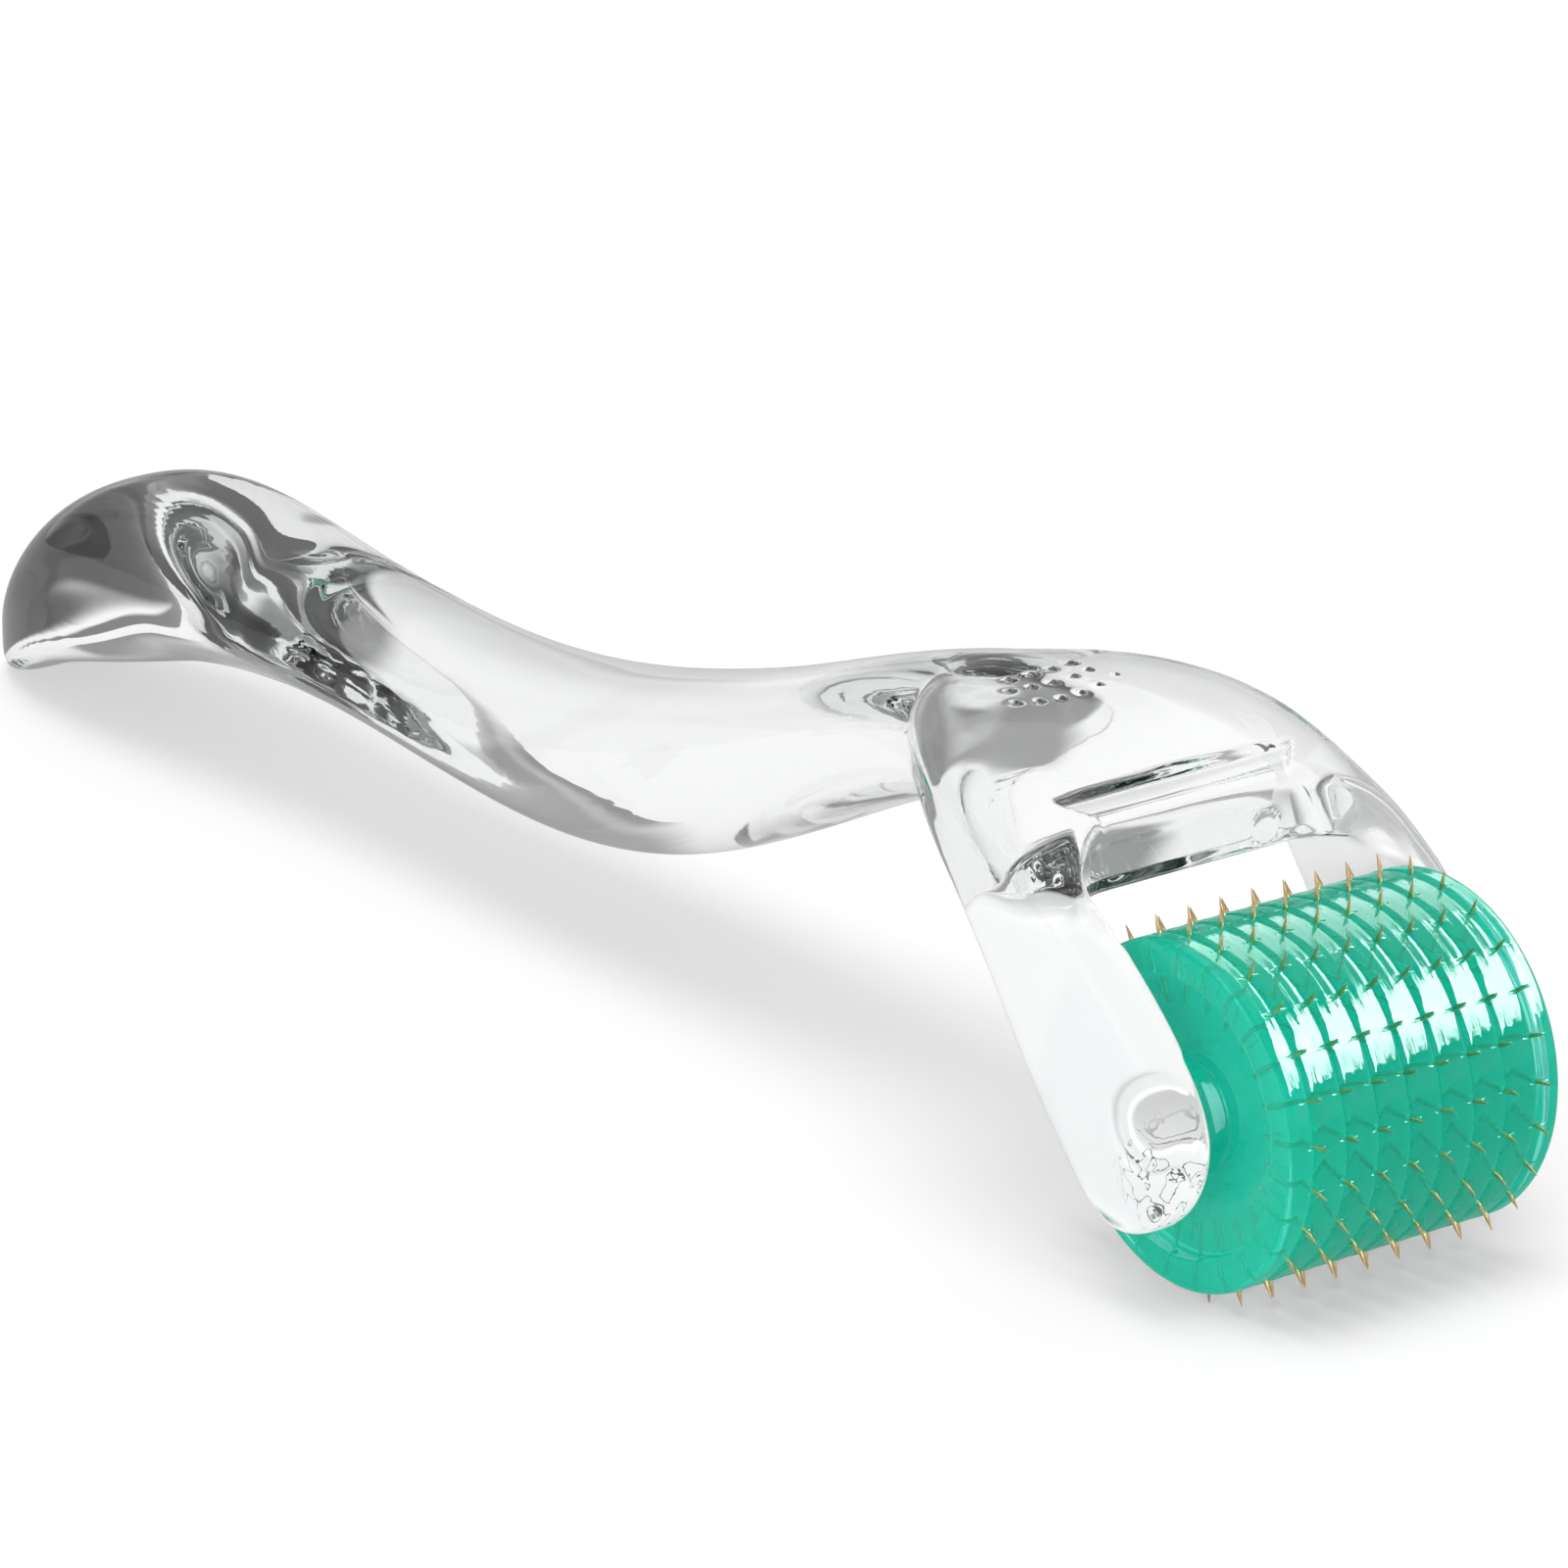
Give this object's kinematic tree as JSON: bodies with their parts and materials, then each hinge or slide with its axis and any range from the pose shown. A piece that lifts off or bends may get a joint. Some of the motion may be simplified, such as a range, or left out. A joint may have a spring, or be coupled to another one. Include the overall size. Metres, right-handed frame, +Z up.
{
  "type": "derma roller",
  "caption": "Hand-held micro-needle skin roller: clear S-curved handle with a two-arm yoke holding a green drum of stacked ring discs and gold needles.",
  "frame": {"origin": "middle of the bounding box in plan, on the table plane the roller stands on", "axes": "+X from the tail of the handle towards the roller, +Y along the roller axle, +Z up"},
  "size_m": [0.1402, 0.0264, 0.0285],
  "materials": {
    "clear": "water-clear polished plastic",
    "green": "transparent green polished plastic",
    "needle": "gold-coloured plated steel"
  },
  "bodies": {
    "handle": {"clear_handle": "clear"},
    "roller": {"core_spool": "green", "end_cap_left": "green", "end_cap_right": "green", "ring_disc_1": "green", "ring_disc_2": "green", "ring_disc_3": "green", "ring_disc_4": "green", "ring_disc_5": "green", "ring_disc_6": "green", "ring_disc_7": "green", "needle_row_1": "needle", "needle_row_2": "needle", "needle_row_3": "needle", "needle_row_4": "needle", "needle_row_5": "needle", "needle_row_6": "needle", "needle_row_7": "needle", "needle_row_8": "needle"}
  },
  "joints": [
    {"name": "roller_spin", "type": "hinge", "parent": "handle", "child": "roller", "pos_m": [0.05918, 0, 0.01094], "axis": [0, 1, 0], "continuous": true}
  ]
}
